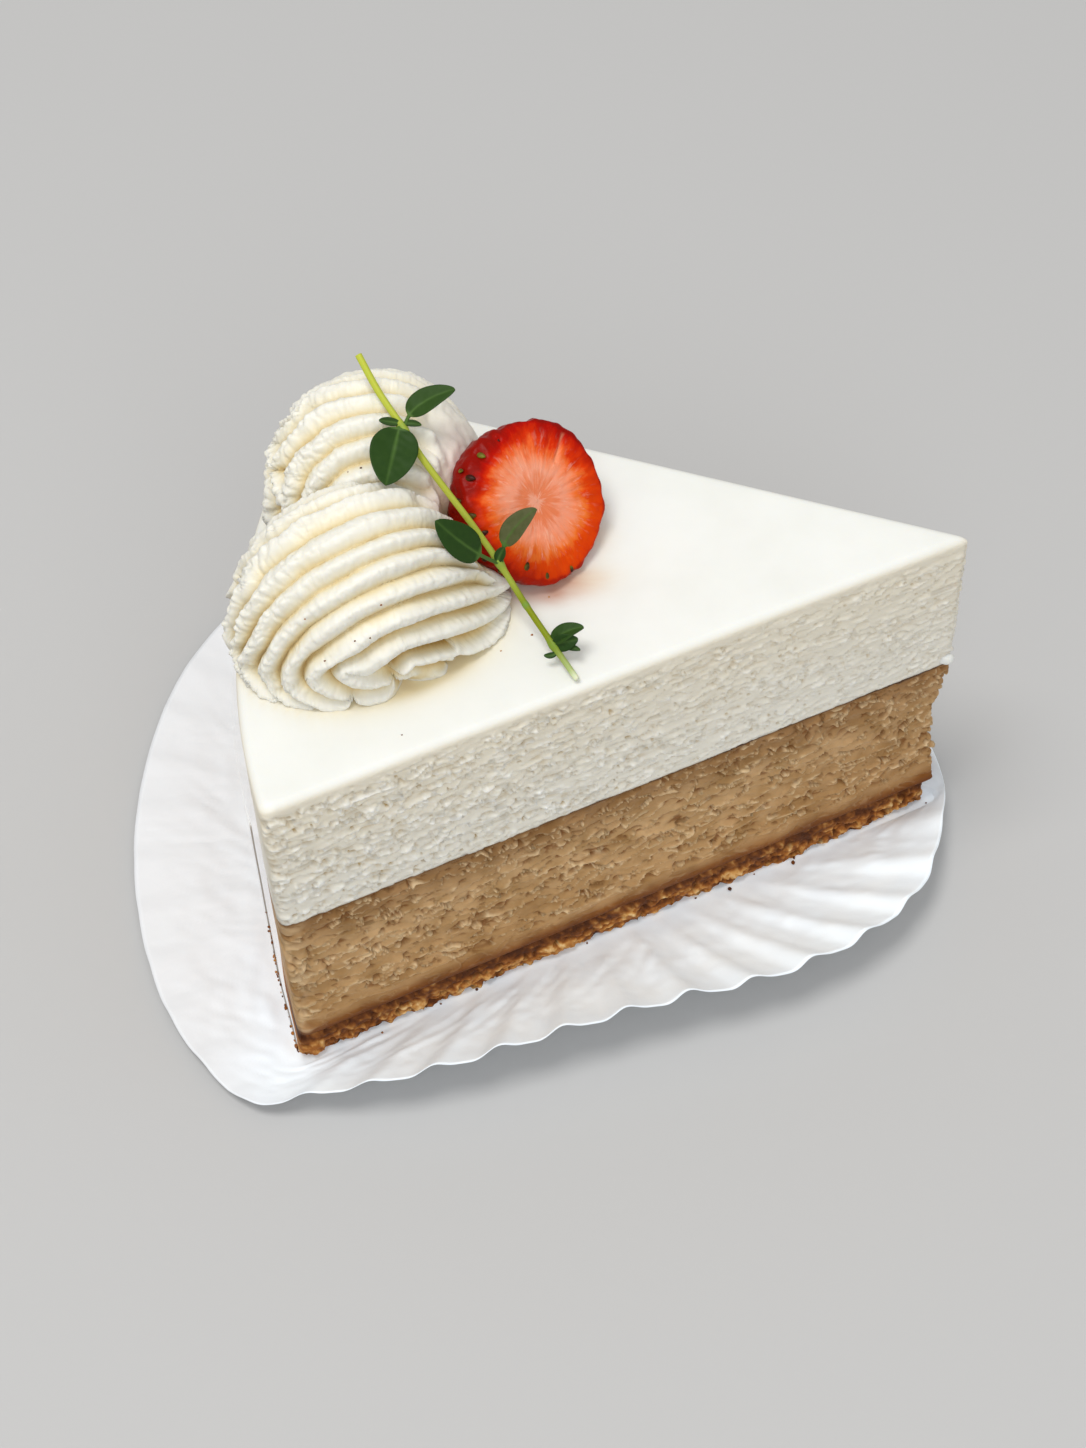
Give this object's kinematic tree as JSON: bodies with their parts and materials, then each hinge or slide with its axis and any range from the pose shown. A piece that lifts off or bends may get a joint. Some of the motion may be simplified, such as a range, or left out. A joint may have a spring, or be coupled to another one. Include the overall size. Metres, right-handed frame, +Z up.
{
  "type": "layered cheesecake slice with piped cream and strawberry on a paper liner",
  "caption": "Wedge of two layer cheesecake on a crumb base, with piped cream shells, a cut strawberry and thyme on top, clear film round the rim and a pleated paper liner under it.",
  "frame": {"origin": "on the underside of the paper liner, in the plane that the part rests on, under the middle of the slice's length", "axes": "+X points from the rim of the slice to its tip, along the line that halves its angle, +Y points to the back cut and +Z points up"},
  "size_m": [0.1194, 0.0932, 0.0846],
  "materials": {
    "paper": "matte white baking paper, softly creased",
    "biscuit": "matte pressed biscuit crumb, buttery",
    "baked_cheese": "satin, dense baked cheese torn by the knife",
    "white_cheese": "satin set cream cheese, smooth on top and grained on the cut",
    "film": "clear gloss cake film",
    "cream": "satin whipped cream",
    "strawberry": "moist cut fruit, glossy skin",
    "thyme": "satin green leaves on a pale stem"
  },
  "bodies": {
    "root": {"paper_liner": "paper", "biscuit_base": "biscuit", "baked_cheese_layer": "baked_cheese", "white_cheese_layer": "white_cheese", "acetate_collar": "film", "cream_shell_front": "cream", "cream_shell_back": "cream", "strawberry_half": "strawberry", "thyme_sprig": "thyme"}
  },
  "joints": []
}
